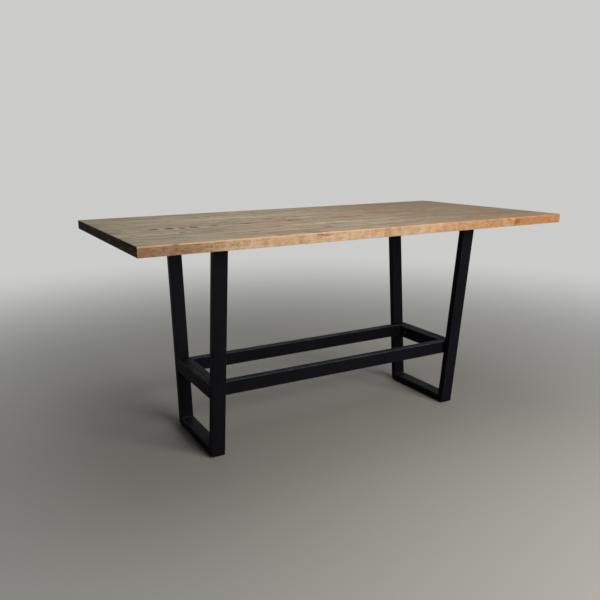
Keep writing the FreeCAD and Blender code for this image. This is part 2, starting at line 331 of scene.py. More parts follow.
class Nodes:
    """A node tree whose nodes are added and joined by short calls, which take sockets, numbers and colours
    alike and return what comes out."""

    def __init__(self, tree):
        self.tree = tree

    def feed(self, socket, value):
        """Joins the socket to another one, or sets it to a value or a colour."""
        if isinstance(value, bpy.types.NodeSocket):
            self.tree.links.new(value, socket)
        elif socket.type == "RGBA":
            socket.default_value = (*value, 1.0)
        else:
            socket.default_value = value

    def add(self, kind, inputs=(), **settings):
        """A new node with these settings. Its sockets are fed in order from a list or by name from a
        dictionary."""
        node = self.tree.nodes.new("ShaderNode" + kind)
        for name, value in settings.items():
            setattr(node, name, value)
        for key, value in inputs.items() if isinstance(inputs, dict) else enumerate(inputs):
            self.feed(node.inputs[key], value)
        return node

    def math(self, operation, *values):
        """What the Math node makes of the values."""
        return self.add("Math", values, operation=operation).outputs[0]

    def total(self, first, *others):
        """The sum of the values."""
        for value in others:
            first = self.math("ADD", first, value)
        return first

    def times(self, first, *others):
        """The product of the values."""
        for value in others:
            first = self.math("MULTIPLY", first, value)
        return first

    def linear(self, value, factor, offset):
        """The value times the factor, plus the offset."""
        return self.math("MULTIPLY_ADD", value, factor, offset)

    def ramp(self, value, low, high, out_low=0.0, out_high=1.0, shape="SMOOTHSTEP"):
        """A rise or fall from out_low, where the value is at low, to out_high, where it is at high."""
        numbers = (value, low, high, out_low, out_high)
        return self.add("MapRange", numbers, interpolation_type=shape).outputs[0]

    def split(self, vector):
        """The three parts of a vector."""
        return self.add("SeparateXYZ", [vector]).outputs

    def length(self, vector):
        """The length of a vector."""
        return self.add("VectorMath", [vector], operation="LENGTH").outputs["Value"]

    def mix(self, factor, first, second, blend="MIX"):
        """The first colour where the factor is 0, and its blend with the second where the factor is 1."""
        node = self.add("Mix", [factor], data_type="RGBA", blend_type=blend)
        colours = [socket for socket in node.inputs if socket.type == "RGBA"]
        self.feed(colours[0], first)
        self.feed(colours[1], second)
        return [socket for socket in node.outputs if socket.type == "RGBA"][0]

    def paint(self, under, shade, amount):
        """A shade laid over the colour that is under it, by the amount."""
        return self.mix(amount, under, shade)

    def seen_ray(self):
        """One for a ray that shows the backdrop: from the camera, or by way of a shiny or clear surface."""
        path = self.add("LightPath").outputs
        seen = self.math("MAXIMUM", path["Is Camera Ray"], path["Is Glossy Ray"])
        return self.math("MAXIMUM", seen, path["Is Transmission Ray"])

    def show(self, amount, first, second, output):
        """Sends the mix of two shaders to the tree's output."""
        blend = self.add("MixShader", (amount, first, second))
        self.feed(self.tree.nodes[output].inputs["Surface"], blend.outputs[0])


class Finish(Nodes):
    """A material with one surface, and the object's own coordinates to work its pattern out from."""

    shift = (0.0, 0.0, 0.0)

    def __init__(self, name):
        self.material = bpy.data.materials.new(name)
        self.material.use_nodes = True
        super().__init__(self.material.node_tree)
        self.surface = self.tree.nodes["Principled BSDF"]
        coordinates = self.add("TexCoord")
        self.place = coordinates.outputs["Object"]
        self.normal = coordinates.outputs["Normal"]

    def set(self, **values):
        """Feeds the surface's sockets, named with a low line for each space."""
        for name, value in values.items():
            self.feed(self.surface.inputs[name.replace("_", " ")], value)

    def distance(self, centre, half_sizes):
        """Distance from the centre of an ellipsoid, 1 on its surface."""
        scale = [1.0 / half for half in half_sizes]
        start = [-c * s for c, s in zip(centre, scale)]
        place = self.add("Mapping", {"Vector": self.place, "Scale": scale, "Location": start})
        return self.length(place.outputs[0])

    def noise(self, scale, detail=2.0, roughness=0.5):
        """Noise at the coordinates times the scale, a number or one for each axis, plus the shift."""
        scale = np.broadcast_to(scale, 3)
        place = self.add("Mapping", {"Vector": self.place, "Scale": scale, "Location": self.shift})
        inputs = {"Vector": place.outputs[0], "Scale": 1.0, "Detail": detail, "Roughness": roughness}
        return self.add("TexNoise", inputs).outputs["Fac"]

    def bump(self, height, distance, strength=1.0):
        """Tilts the surface's normal by the slope of the height times the distance."""
        node = self.add("Bump", {"Height": height, "Distance": distance, "Strength": strength})
        self.set(Normal=node.outputs[0])


class OakFinish(Finish):
    """Oiled oak as a solid: growth rings round a heart that runs beside the board, so that the face shows
    arches and the ends show arcs, with pores in the early wood, long streaks, soft patches and knots that
    push the rings. Each method that takes the wood's colour lays something over it and returns it."""

    def __init__(self, board, look):
        super().__init__("oak_board_%d" % board)
        self.board = board
        self.look = look
        self.light, self.warmth = BOARD_TONES[board - 1]
        self.marks = MARKS.get(board, [])
        self.fields = [self.distance(mark.centre, mark.half_sizes) for mark in self.marks]
        self.sunk = 0.0
        self.lay_rings()
        self.lay_fields()
        wood = self.toned(self.streaked())
        if board < 3:
            wood = self.strip_by_front(wood)
        if board == 1:
            wood = self.front_edge(wood)
        wood = self.mix(1.0, wood, self.mix(self.late, EARLY_TINT, LATE_TINT), "MULTIPLY")
        wood = self.paint(wood, look.pore, self.times(self.pores, 0.7))
        wood = self.glued(self.ended(self.marked(wood)))
        sheen = self.ramp(self.streaks, 0.3, 0.7, look.roughness - 0.05, look.roughness + 0.06)
        self.set(Base_Color=wood, Roughness=self.linear(self.at_end, 0.15, sheen))
        self.set(Specular_IOR_Level=self.linear(self.at_end, -0.18, 0.20))
        self.bump(self.total(self.times(self.late, 0.35), self.times(self.pores, -0.9),
                             self.times(self.fine, 0.25), self.times(self.sunk, -1.0)), 0.00025, 0.7)

    def lay_rings(self):
        """The growth rings: the distance from the heart, which leans and wanders, counted in ring widths. A
        knot adds to that distance, so that the rings bend round it. In each ring early wood turns into late
        wood."""
        chance = np.random.default_rng(40 + self.board)
        middle_y = TOP_LOW[1] + (self.board - 0.5) * BOARD_WIDTH
        middle_z = (TABLE_HEIGHT + TOP_UNDERSIDE) / 2
        heart_y = chance.uniform(-0.04, 0.04) - middle_y
        heart_z = chance.uniform(0.07, 0.12) * (1 if self.board % 2 else -1) - middle_z
        slope_y = chance.uniform(-0.012, 0.012)
        slope_z = chance.uniform(-0.022, 0.022)
        ring_width = chance.uniform(0.0026, 0.0042)
        self.shift = chance.uniform(-40.0, 40.0, 3)
        self.x, self.y, z = self.split(self.place)
        wander = self.noise((0.9, 1.5, 1.5), 1.0)
        ripple = self.noise((3.0, 16.0, 16.0), 2.0)
        across = self.total(self.y, self.times(self.x, slope_y), self.linear(wander, 0.09, heart_y - 0.045))
        below = self.total(z, self.times(self.x, slope_z), self.linear(wander, -0.05, heart_z + 0.025))
        squares = self.total(self.times(across, across), self.times(below, below))
        pushes = [self.ramp(field, 0.6, 4.5, 0.0050, 0.0) for field, mark in zip(self.fields, self.marks)
                  if mark.kind == "knot"]
        radius = self.total(self.math("SQRT", squares), self.times(ripple, 0.008), *pushes)
        self.ring = self.math("FRACT", self.math("DIVIDE", radius, ring_width))
        self.late = self.ramp(self.ring, 0.05, 0.60)

    def lay_fields(self):
        """The other patterns, stretched along the board, and where on it a point lies."""
        pores = self.ramp(self.noise((95.0, 1500.0, 1500.0), 1.0), 0.53, 0.66)
        self.pores = self.times(pores, self.ramp(self.ring, 0.55, 0.05))
        self.broad = self.noise((1.7, 24.0, 24.0), 3.0, 0.6)
        self.streaks = self.noise((3.4, 90.0, 60.0), 4.0, 0.62)
        self.fine = self.noise((9.0, 420.0, 420.0), 2.0)
        self.patches = self.noise((2.4, 6.0, 6.0), 3.0)
        facing = self.split(self.normal)
        self.front = self.ramp(facing[1], -0.25, -0.75)
        self.at_end = self.ramp(self.math("ABSOLUTE", facing[0]), 0.6, 0.95)
        self.frayed = self.linear(self.broad, 0.30, self.x)

    def lay(self, wood, *rows, within=None):
        """Lays colours over the wood in turn. A row is a field, the values of it at which the colour begins
        and is full, the share that it then has, and the colour. All keep to the field within, if there is
        one."""
        for field, begin, full, share, shade in rows:
            amount = self.ramp(field, begin, full, 0.0, share)
            if within is not None:
                amount = self.times(within, amount)
            wood = self.paint(wood, shade, amount)
        return wood

    def streaked(self):
        """Early and late wood under streaks, smudges and patches that took more oil."""
        look, warmth = self.look, self.warmth
        smudges = self.noise((11.0, 42.0, 42.0), 4.0, 0.62)
        wood = self.mix(self.linear(self.late, 0.62, 0.24), look.early_wood, look.late_wood)
        wood = self.lay(wood,
                        (self.streaks, 0.46, 0.61, 0.85, look.pale_streak),
                        (self.streaks, 0.52, 0.38, 0.85, look.dark_streak),
                        (self.broad, 0.46, 0.60, 0.75, look.pale_streak),
                        (self.broad, 0.52, 0.40, 0.80, look.dark_streak),
                        (smudges, 0.42, 0.30, 0.45, look.pale_streak),
                        (smudges, 0.53, 0.66, 0.80, look.smudge))
        warm = self.ramp(self.patches, 0.40, 0.68, 0.25 * warmth, min(1.0, 0.45 + 0.6 * warmth))
        if self.board == 1:
            warm_front = self.times(self.front, self.ramp(self.frayed, -0.10, 0.95, 0.2, 1.0))
            warm = self.math("MAXIMUM", warm, warm_front)
        wood = self.paint(wood, look.warm_patch, self.times(warm, 0.62))
        return self.lay(wood, (self.fine, 0.42, 0.66, 0.16, look.early_wood))

    def toned(self, wood):
        """The board's own tone, darker and redder towards the right end and greyer and darker towards the
        left, partly the wood's colour and partly painted shade, with the smudge colour laid over the very
        left end.
        """
        look, light = self.look, self.light
        wood = self.mix(1.0, wood, (light, light, light * (1.02 - 0.05 * self.warmth)), "MULTIPLY")
        # Towards each end the top is darkened and tinted, partly as painted shade.
        for begin, full, tint, shade in ((0.05, 1.15, RIGHT_TINT_AND_SHADE, look.right_top_and_shade),
                                         (0.00, -1.00, LEFT_TINT_AND_SHADE, look.left_top_and_shade)):
            wood = self.mix(self.ramp(self.frayed, begin, full), wood, tint, "MULTIPLY")
            wood = self.lay(wood, (self.frayed, begin, full, 0.35, shade))
        russet = self.noise((2.6, 17.0, 17.0), 4.0, 0.6)
        for begin, full, most, shade in ((0.46, 0.60, 0.75, look.russet), (0.50, 0.38, 0.60, look.olive)):
            rightward = self.ramp(self.frayed, -0.20, 0.80, 0.08, most)
            wood = self.paint(wood, shade, self.times(self.ramp(russet, begin, full), rightward))
        # The very left end darker, in the smudge colour.
        return self.lay(wood, (self.frayed, -0.90, -1.06, 0.45, look.smudge))

    def strip_by_front(self, wood):
        """The strip of the top that lies beside the front edge."""
        look = self.look
        strip = self.ramp(self.linear(self.patches, 0.16, self.y), -0.33, -0.47)
        wood = self.paint(wood, look.warm_patch, self.times(strip, 0.50))
        return self.lay(wood, (self.frayed, 0.15, 0.90, 0.60, look.right_strip), within=strip)

    def front_edge(self, wood):
        """The front edge, banded and mottled by the weather, with painted warm light over it, painted shade
        towards its left end and a painted highlight along its upper arris.
        """
        look = self.look
        bands = self.noise((26.0, 4.0, 7.0), 3.0, 0.6)
        mottle = self.noise((45.0, 60.0, 110.0), 5.0, 0.70)
        # Painted warm light over the whole front face.
        wood = self.paint(wood, look.edge_painted_warm_light, self.times(self.front, 0.45))
        wood = self.lay(wood,
                        (bands, 0.50, 0.68, 0.50, look.edge_dark),
                        (bands, 0.48, 0.32, 0.50, look.edge_pale_and_highlight),
                        (mottle, 0.50, 0.72, 0.60, look.edge_dark),
                        (mottle, 0.48, 0.30, 0.40, look.edge_pale_and_highlight),
                        (self.frayed, 0.35, 0.95, 0.55, look.right_glow),
                        (self.frayed, 0.955, 1.01, 0.75, look.right_glow),
                        # Painted shade towards the left end of the front face.
                        (self.frayed, -0.60, -0.86, 0.90, look.edge_painted_left_shade),
                        within=self.front)
        for begin, full, shade in ((0.20, 0.75, look.right_fleck), (-0.50, -0.80, look.left_fleck)):
            part = self.times(self.front, self.ramp(self.frayed, begin, full))
            wood = self.lay(wood, (mottle, 0.47, 0.68, 0.75, shade), within=part)
        # A painted highlight along the upper arris of the front edge.
        corner = self.distance((0.0, TOP_LOW[1], TABLE_HEIGHT), (1000.0, 0.0060, 0.0060))
        rubbed = self.times(self.ramp(corner, 1.3, 0.5), self.ramp(self.patches, 0.36, 0.60, 0.25, 0.85),
                            self.ramp(self.frayed, 0.80, 0.30, 0.25, 1.0))
        return self.paint(wood, look.edge_pale_and_highlight, rubbed)

    def marked(self, wood):
        """Knots, and the smudges and spots that have no rings. Two noises fray the outline of each."""
        look = self.look
        grain = self.noise((160.0, 220.0, 220.0), 2.0)
        lumps = self.noise((48.0, 75.0, 75.0), 1.0)
        fray = self.linear(grain, 0.7, self.linear(lumps, 1.6, -1.15))
        flat_colours = {"smudge": look.smudge, "pale": look.pale_streak, "red": look.knot_red,
                        "amber": look.amber}
        for mark in self.marks:
            if mark.kind == "knot":
                wood = self.knot_halo(wood, mark, fray)
        for field, mark in zip(self.fields, self.marks):
            if mark.kind == "knot":
                wood = self.knot(wood, mark.strength, self.linear(fray, 0.45, field))
            else:
                shade = flat_colours[mark.kind]
                wood = self.lay(wood, (self.total(field, fray), 1.45, 0.45, mark.strength, shade))
        return wood

    def knot_halo(self, wood, mark, fray):
        """The wood round a knot, pale and then warm, and longer than the knot along the board."""
        half_x, half_y, half_z = mark.half_sizes
        halo = self.total(self.distance(mark.centre, (half_x * 1.9, half_y * 1.1, half_z)), fray)
        return self.lay(wood,
                        (halo, 2.2, 1.4, 0.40 * mark.strength, self.look.pale_streak),
                        (halo, 1.5, 0.8, 0.30 + 0.3 * mark.strength, self.look.knot_halo))

    def knot(self, wood, strength, field):
        """A knot: dark and lighter rings round a dark heart, in a dark rim, and sunk a little."""
        look = self.look
        rings = self.ramp(self.math("FRACT", self.times(field, 3.6)), 0.10, 0.60)
        heart = self.mix(rings, look.knot_heart, look.knot_ring)
        heart = self.lay(heart, (field, 0.34, 0.12, 0.85, look.knot_heart))
        wood = self.mix(self.ramp(field, 1.20, 0.95, 0.0, strength), wood, heart)
        rim = self.times(self.ramp(field, 0.80, 0.98), self.ramp(field, 1.22, 1.04))
        self.sunk = self.total(self.sunk, self.ramp(field, 1.2, 0.4, 0.0, 0.5 * strength))
        return self.paint(wood, look.knot_heart, self.times(rim, 0.7 * strength))

    def ended(self, wood):
        """The ends of the board, where the open grain has soaked up oil in darker and paler layers, and which
        are darkened further as painted shade.
        """
        look = self.look
        layers = self.noise((8.0, 14.0, 150.0), 3.0, 0.6)
        end = self.lay(look.end_wood, (self.broad, 0.40, 0.60, 0.8, look.end_dark))
        end = self.paint(end, look.end_dark, self.times(self.late, 0.45))
        end = self.lay(end,
                       (layers, 0.47, 0.60, 0.85, look.end_dark),
                       (layers, 0.48, 0.34, 0.80, look.end_pale))
        # The end grain darker, partly from oil and partly as painted shade.
        return self.mix(self.times(self.at_end, look.end_soak_and_shade), wood, end)

    def glued(self, wood):
        """The dark line at each side that is glued to another board."""
        seams = []
        for before in (self.board - 1, self.board):
            if 0 < before < BOARD_COUNT:
                away = self.math("SUBTRACT", self.y, TOP_LOW[1] + before * BOARD_WIDTH)
                seams.append(self.ramp(self.math("ABSOLUTE", away), 0.0003, 0.0009, 0.5, 0.0))
        return self.paint(wood, self.look.pore, self.total(*seams))


def coat_finish(look):
    """Satin black powder coat: the fine orange peel of cured powder, a few coarser waves, a trace of dust
    where a face looks up, and a painted highlight along the long corners, strongest where they face up."""
    make = Finish("black_powder_coat")
    peel = make.noise(620.0, 2.0, 0.55)
    waves = make.noise(45.0)
    smears = make.noise((9.0, 9.0, 5.0), 3.0)
    facing = make.split(make.normal)
    upward = make.ramp(facing[2], 0.55, 0.98)
    specks = make.ramp(make.noise(1400.0), 0.50, 0.74)
    film = make.ramp(make.noise(30.0, 3.0), 0.35, 0.70, 0.4, 1.0)
    dust = make.times(upward, film, make.linear(specks, 0.022, 0.022))
    coat = make.paint(look.coat, look.coat_light, make.ramp(smears, 0.35, 0.7, 0.0, 0.5))
    along, across, up = (make.math("ABSOLUTE", part) for part in facing)
    flatness = make.math("MAXIMUM", along, make.math("MAXIMUM", across, up))
    # A painted highlight along the long corners, stronger where they face up.
    highlight_facing_up = make.ramp(facing[2], 0.10, 0.50, 0.12, 1.0)
    coat = make.paint(coat, look.coat_painted_highlight, make.times(make.ramp(flatness, 0.97, 0.86), highlight_facing_up, film))
    low, high = look.coat_roughness - 0.05, look.coat_roughness + 0.05
    make.set(Base_Color=make.paint(coat, look.dust, dust), Specular_IOR_Level=0.025)
    make.set(Roughness=make.total(make.ramp(smears, 0.3, 0.7, low, high), make.times(peel, 0.06),
                                  make.times(upward, 0.04)))
    make.bump(make.linear(waves, 0.8, peel), 0.00012, 0.5)
    return make.material


def weld_finish(look):
    """The same coat over a weld, where the powder lies a little thicker and glossier in the hollows."""
    make = Finish("coated_weld")
    grain = make.noise(900.0, 3.0)
    make.set(Base_Color=make.paint(look.coat, look.coat_light, make.ramp(grain, 0.3, 0.7)))
    make.set(Roughness=make.ramp(grain, 0.3, 0.7, look.coat_roughness - 0.12, look.coat_roughness))
    make.set(Specular_IOR_Level=0.18)
    make.bump(grain, 0.00008, 0.6)
    return make.material


def zinc_finish(look):
    """Bright zinc plate: turned lines, cloudy grey patches and a faint yellow cast from passivation."""
    make = Finish("zinc_plate")
    clouds = make.noise(260.0, 3.0, 0.6)
    lines = make.noise((700.0, 700.0, 6500.0), 1.0)
    cast = make.noise(90.0)
    plate = make.paint(look.zinc, look.zinc_cloud, make.ramp(clouds, 0.35, 0.7))
    plate = make.paint(plate, look.zinc_cast, make.ramp(cast, 0.45, 0.75, 0.0, 0.5))
    make.set(Base_Color=plate, Metallic=1.0)
    make.set(Roughness=make.linear(lines, 0.08, make.ramp(clouds, 0.3, 0.7, 0.28, 0.44)))
    make.bump(make.linear(lines, 0.5, clouds), 0.00003, 0.6)
    return make.material


def brass_finish(look):
    """Machined brass, slightly tarnished."""
    make = Finish("machined_brass")
    tarnish = make.noise(180.0, 3.0)
    lines = make.noise((500.0, 500.0, 5200.0), 1.0)
    make.set(Base_Color=make.paint(look.brass, look.tarnish, make.ramp(tarnish, 0.35, 0.75)))
    make.set(Metallic=1.0, Roughness=make.ramp(tarnish, 0.3, 0.7, 0.24, 0.42))
    make.bump(lines, 0.00003, 0.5)
    return make.material


def black_bolt_finish(look):
    """Black oxide on steel, oily and uneven, with bare grey where the key has rubbed."""
    make = Finish("black_oxide")
    uneven = make.noise(420.0, 3.0)
    rubbed = make.noise(1300.0)
    steel = make.paint(look.oxide, look.oxide_dry, make.ramp(uneven, 0.35, 0.7))
    steel = make.paint(steel, look.oxide_rubbed, make.ramp(rubbed, 0.66, 0.78, 0.0, 0.5))
    make.set(Base_Color=steel, Metallic=0.7, Roughness=make.ramp(uneven, 0.3, 0.7, 0.34, 0.52))
    make.bump(uneven, 0.00004, 0.5)
    return make.material


def plastic_finish(look):
    """Moulded black polyamide: a spark-eroded grain, with scuffs near the floor."""
    make = Finish("foot_plastic")
    grain = make.noise(1700.0)
    scuffs = make.noise((240.0, 240.0, 900.0), 3.0, 0.65)
    height = make.split(make.place)[2]
    worn = make.times(make.ramp(height, 0.0045, 0.0), make.ramp(scuffs, 0.45, 0.7))
    make.set(Base_Color=make.paint(look.plastic, look.plastic_worn, worn), Specular_IOR_Level=0.4)
    make.set(Roughness=make.ramp(grain, 0.3, 0.7, 0.48, 0.66))
    make.bump(grain, 0.00006, 0.7)
    return make.material


# Shapes of the top

def arris_radius(x, look):
    """The radius of the eased corners, which a hand sander leaves a little uneven: a base value plus three
    slow waves along the table."""
    waves = 0.5 * np.sin(7.3 * x + 0.8) + 0.3 * np.sin(19.1 * x + 2.1) + 0.2 * np.sin(43.0 * x)
    return look.arris * (1.0 + look.arris_waver * waves)


def board_stations(board, radius):
    """Places along a board: close together round its two ends and its knots, and far apart elsewhere."""
    turn = np.linspace(0.0, math.pi / 2, CORNER_POINTS)
    end = TOP_LENGTH / 2 - radius * (1.0 - np.sin(turn))[::-1]
    inner = TOP_LENGTH / 2 - 0.004
    stations = [np.linspace(-inner, inner, 90), end, -end]
    for mark in MARKS.get(board, []):
        if mark.depth > 0.0:
            middle, reach = mark.centre[0], 2.2 * mark.half_sizes[0]
            stations.append(np.arange(max(middle - reach, -inner), min(middle + reach, inner), 0.0024))
    return np.unique(np.round(np.concatenate(stations), 6))


def hollows(board, x, y, look):
    """Depth of the surface below flat: a slow waver from planing, and a bowl exp(-d^2) at each knot."""
    depth = look.waver * (0.5 + 0.5 * np.sin(31.0 * x + 5.0 * board) * np.sin(60.0 * y))
    for mark in MARKS.get(board, []):
        along = (x - mark.centre[0]) / mark.half_sizes[0]
        across = (y - mark.centre[1]) / mark.half_sizes[1]
        depth = depth + mark.depth * np.exp(-along ** 2 - across ** 2)
    return depth


def board_shell(board, look):
    """One board: a rectangle with rounded corners carried along X. At each end the corner radius of the top
    shrinks as the root of r^2 - (r - d)^2, where d is the distance to the end, so the long and the short
    arrises meet in a piece of a ball. The sides that are glued keep a fine square edge."""
    x = board_stations(board, look.arris)
    radius = arris_radius(x, look)
    to_end = np.minimum(TOP_LENGTH / 2 - np.abs(x), radius)
    reach = np.sqrt(np.maximum(radius ** 2 - (radius - to_end) ** 2, 0.0))[:, None]
    inset = radius[:, None] - reach
    turn = np.linspace(0.0, math.pi / 2, CORNER_POINTS)
    front = TOP_LOW[1] + (board - 1) * BOARD_WIDTH

    def corner(side, upward):
        """Points of one long corner from the side to the face, as an array of y and z by stations."""
        if board == (BOARD_COUNT if side > 0 else 1):
            size, side_inset = reach, inset
        else:
            size, side_inset = np.full_like(reach, look.glue_edge), 0.0
        side_y = front + BOARD_WIDTH if side > 0 else front
        face_z = TABLE_HEIGHT if upward > 0 else TOP_UNDERSIDE
        across = side_y - side * (side_inset + size * (1.0 - np.cos(turn)))
        up = face_z - upward * inset - upward * size * (1.0 - np.sin(turn))
        return np.stack([across, up])

    def face_run(start, end, count):
        """Points across a face between two corners, the first and last close to them."""
        share = np.concatenate([[0.004], np.linspace(0.02, 0.98, count), [0.996]])
        return start[..., -1:] + (end[..., :1] - start[..., -1:]) * share

    corners = [corner(-1, 1), corner(1, 1)[..., ::-1], corner(1, -1), corner(-1, -1)[..., ::-1]]
    pieces = []
    for here, following, count in zip(corners, corners[1:] + corners[:1], FACE_POINTS):
        pieces += [here, face_run(here, following, count)]
    across, up = np.concatenate(pieces, axis=-1)
    along = np.repeat(x[:, None], across.shape[1], axis=1)
    top = slice(CORNER_POINTS, CORNER_POINTS + FACE_POINTS[0] + 2)
    fade = np.clip((TOP_LENGTH / 2 - np.abs(along[:, top])) / FLAT_END, 0.0, 1.0)
    up[:, top] -= hollows(board, along[:, top], across[:, top], look) * fade
    return closed_grid(np.stack([along, across, up], axis=-1))


# Shapes of the steel and the fixings

def weld_shell(start, end, toe, other_toe, look):
    """A fillet weld in the corner from start to end. Its section runs from a toe on one face to a toe on the
    other, halfway between a straight line and a quarter of a circle. Along the bead its size is the base
    size times one plus the ripple times the absolute sine of the distance, and it closes at the ends like
    half a ball."""
    start, end, toe, other_toe = (np.array(value, float) for value in (start, end, toe, other_toe))
    length = np.linalg.norm(end - start)
    distance = np.arange(0.0, length, WELD_STEP) + WELD_STEP / 2
    to_end = np.minimum(np.minimum(distance, length - distance), look.weld_size)
    swell = np.sqrt(np.maximum(1.0 - (1.0 - to_end / look.weld_size) ** 2, 0.02))
    ripples = 1.0 + look.weld_ripple * np.abs(np.sin(math.pi * distance / RIPPLE_PITCH))
    scale = look.weld_size * swell * ripples
    share = np.linspace(0.0, 1.0, 9)
    one = 0.5 * (1.0 - share) + 0.5 * np.cos(share * math.pi / 2)
    two = 0.5 * share + 0.5 * np.sin(share * math.pi / 2)
    section = np.vstack([np.outer(one, toe) + np.outer(two, other_toe), -0.15 * (toe + other_toe)])
    line = start + (end - start) * (distance / length)[:, None]
    return closed_grid(line[:, None, :] + scale[:, None, None] * section)


def hexagon(angle, flats):
    """Radius of a hexagon at each angle: half its width over the cosine of the angle to a flat."""
    return flats / 2 / np.cos((angle + math.pi / 6) % (math.pi / 3) - math.pi / 6)


def thread(angle, along):
    """Radius of a right-hand thread: the outer radius less a triangle wave of the distance along the rod less
    the turn, in pitches."""
    phase = (along / THREAD_PITCH - angle / (2 * math.pi)) % 1.0
    return SCREW_RADIUS - THREAD_DEPTH * np.clip(np.abs(2.0 * phase - 1.0) * 1.15, 0.0, 1.0)


def round_angles(steps=48):
    """Equal angles once round."""
    return np.linspace(0.0, 2 * math.pi, steps, endpoint=False)


def about(base, axis, angle, radius, along):
    """Points at these angles, radii and distances along an axis that starts at the base."""
    local = np.stack(np.broadcast_arrays(radius * np.cos(angle), radius * np.sin(angle), along), axis=-1)
    turn = Vector((0.0, 0.0, 1.0)).rotation_difference(Vector(axis)).to_matrix()
    return local @ np.array(turn).T + np.array(base)


def turned_shell(base, axis, rows, steps=48):
    """A piece about an axis from a base point. Each row is a distance along the axis and a radius, one for
    all or one for each of the angles round it."""
    angle = round_angles(steps)
    along = np.array([row[0] for row in rows])[:, None]
    radius = np.stack([np.broadcast_to(row[1], angle.shape) for row in rows])
    return closed_grid(about(base, axis, angle, radius, along))


def washer_shell(base, axis, height):
    """A washer: a rectangle with rounded corners turned about an axis."""
    inner, outer = WASHER_BORE + WASHER_CORNER, WASHER_RADIUS - WASHER_CORNER
    low, high = WASHER_CORNER, height - WASHER_CORNER
    radii = []
    levels = []
    for radius, level, start in ((inner, low, 180), (outer, low, 270), (outer, high, 0), (inner, high, 90)):
        turn = np.radians(np.linspace(start, start + 90, 5))
        radii.append(radius + WASHER_CORNER * np.cos(turn))
        levels.append(level + WASHER_CORNER * np.sin(turn))
    points = about(base, axis, round_angles()[:, None], np.concatenate(radii), np.concatenate(levels))
    return looped_grid(points)


def threaded_rows(start, end):
    """Rows of a threaded rod, with a bevel at its tip."""
    angle = round_angles()
    rows = []
    for along in np.arange(start, end, THREAD_PITCH / 8):
        bevel = SCREW_RADIUS - max(0.0, along - (end - THREAD_TIP)) * 0.9
        rows.append((along, np.minimum(thread(angle, along), bevel)))
    rows.append((end, SCREW_RADIUS - THREAD_TIP * 0.95))
    return rows


def hex_head_rows():
    """Rows of a hexagon head from its bearing side: a round bearing face, square flats, and a 30 degree bevel
    that cuts the corners at the far end."""
    corner = hexagon(round_angles(), HEX_FLATS)
    middle = HEX_FLATS * 0.30
    rows = [(0.0, middle), (0.0, HEX_FACE), (HEX_FACE_HEIGHT, HEX_FACE), (HEX_FACE_HEIGHT, corner)]
    for down in np.linspace(HEX_BEVEL, 0.0, 6):
        rows.append((HEX_HEIGHT - down, np.minimum(corner, HEX_FACE + down * math.tan(math.radians(60)))))
    rows.append((HEX_HEIGHT, middle))
    return rows


def leg_inner(height):
    """Distance from the middle of a frame to a leg's inner side."""
    return HALF_FLOOR + (height - BAR_UNDERSIDE) * math.tan(LEAN) - LEG_ACROSS


def frame_welds(side, look):
    """The welds of one leg frame: the legs to the floor bar, to the cross rail and to the top plate."""
    shells = []
    middle = side * FRAME_X
    half = LEG_HALF_X - TUBE_CORNER
    rail_in = side * (CROSS_LOW.x + TUBE_CORNER)
    rail_out = side * (CROSS_HIGH.x - TUBE_CORNER)
    for end in (-1, 1):
        up_leg = np.array((0.0, end * math.sin(LEAN), math.cos(LEAN)))
        joints = [
            (BAR_TOP, middle - half, middle + half, up_leg),
            (PLATE_UNDERSIDE, middle - half, middle + half, -up_leg),
            (CROSS_HIGH.z, rail_in, rail_out, up_leg),
            (CROSS_LOW.z, rail_in, rail_out, -up_leg),
        ]
        for height, start, stop, along_leg in joints:
            y = end * leg_inner(height)
            shells.append(weld_shell((start, y, height), (stop, y, height), (0, -end, 0), along_leg, look))
    return shells


def rest_welds(look):
    """The upright welds inside the foot rest's four corners."""
    shells = []
    low, high = REST_LOW.z + TUBE_CORNER, REST_HIGH.z - TUBE_CORNER
    for side in (-1, 1):
        for end in (-1, 1):
            corner = (side * BOLT_SEAT_X, end * REST_LOW.y)
            shells.append(weld_shell((*corner, low), (*corner, high), (0, -end, 0), (-side, 0, 0), look))
    return shells


def top_screw_shells():
    """Hexagon-head screws, up through the washer and the plate into the top."""
    shells = []
    for x, y in SCREW_POINTS:
        seat = (x, y, SCREW_SEAT)
        shells.append(turned_shell(seat, (0, 0, -1), hex_head_rows()))
        shells.append(turned_shell(seat, (0, 0, 1), threaded_rows(0.0, SCREW_TIP - SCREW_SEAT)))
    return shells


def rest_bolt_rows():
    """Rows of a button-head bolt from the bottom of its socket: up the hexagon wall, over the domed head and
    down the threaded shank. The dome is an arc through the socket's rim and the head's edge."""
    key = hexagon(round_angles(), BOLT_KEY_FLATS)
    bottom = BOLT_HEAD_HEIGHT - BOLT_KEY_DEPTH
    rows = [(bottom - BOLT_KEY_CONE, 0.0002), (bottom, key), (BOLT_HEAD_HEIGHT - 0.0004, key),
            (BOLT_HEAD_HEIGHT, key + BOLT_KEY_BEVEL)]
    flat = BOLT_KEY_FLATS / 2 + BOLT_KEY_LAND
    for bend in np.linspace(0.0, math.pi / 2, 9):
        height = BOLT_EDGE_HEIGHT + (BOLT_HEAD_HEIGHT - BOLT_EDGE_HEIGHT) * math.cos(bend)
        rows.append((height, flat + (BOLT_HEAD_RADIUS - flat) * math.sin(bend)))
    rows += [(0.0, BOLT_HEAD_RADIUS - 0.0002), (0.0, SCREW_RADIUS)]
    shank = threaded_rows(0.0004, BOLT_TIP_X - BOLT_SEAT_X)
    return rows + [(-along, radius) for along, radius in shank]


